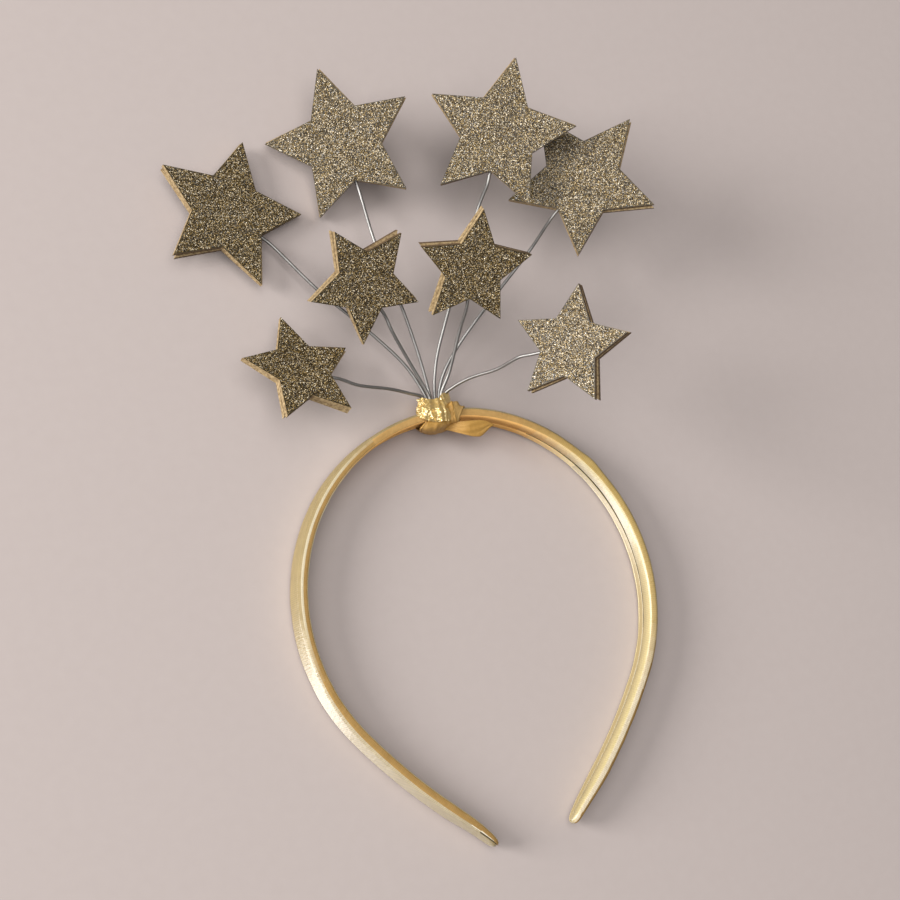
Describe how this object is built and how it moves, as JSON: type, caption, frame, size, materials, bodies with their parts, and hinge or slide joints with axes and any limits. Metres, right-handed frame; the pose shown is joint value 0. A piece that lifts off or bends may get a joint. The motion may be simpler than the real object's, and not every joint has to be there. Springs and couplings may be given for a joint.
{
  "type": "star headband",
  "caption": "Horseshoe headband covered in gold satin, with flat glitter stars fanning from its crown on bent wires held by a knotted ribbon.",
  "frame": {"origin": "middle of the object's box, on the surface that it lies on", "axes": "+X to the wearer's left, +Y from the open ends to the crown and the stars, +Z to the side that faces forward when worn"},
  "size_m": [0.1632, 0.2654, 0.0643],
  "materials": {
    "satin": "satin",
    "lining": "satin",
    "ribbon": "gloss",
    "wire": "satin",
    "glitter": "satin"
  },
  "bodies": {
    "root": {"band": "satin", "lining": "lining", "ribbon_wrap": "ribbon", "ribbon_collar": "ribbon", "ribbon_tail": "ribbon", "wire_1": "wire", "wire_2": "wire", "wire_3": "wire", "wire_4": "wire", "wire_5": "wire", "wire_6": "wire", "wire_7": "wire", "wire_8": "wire", "star_1_front": "glitter", "star_1_back": "glitter", "star_2_front": "glitter", "star_2_back": "glitter", "star_3_front": "glitter", "star_3_back": "glitter", "star_4_front": "glitter", "star_4_back": "glitter", "star_5_front": "glitter", "star_5_back": "glitter", "star_6_front": "glitter", "star_6_back": "glitter", "star_7_front": "glitter", "star_7_back": "glitter", "star_8_front": "glitter", "star_8_back": "glitter"}
  },
  "joints": []
}
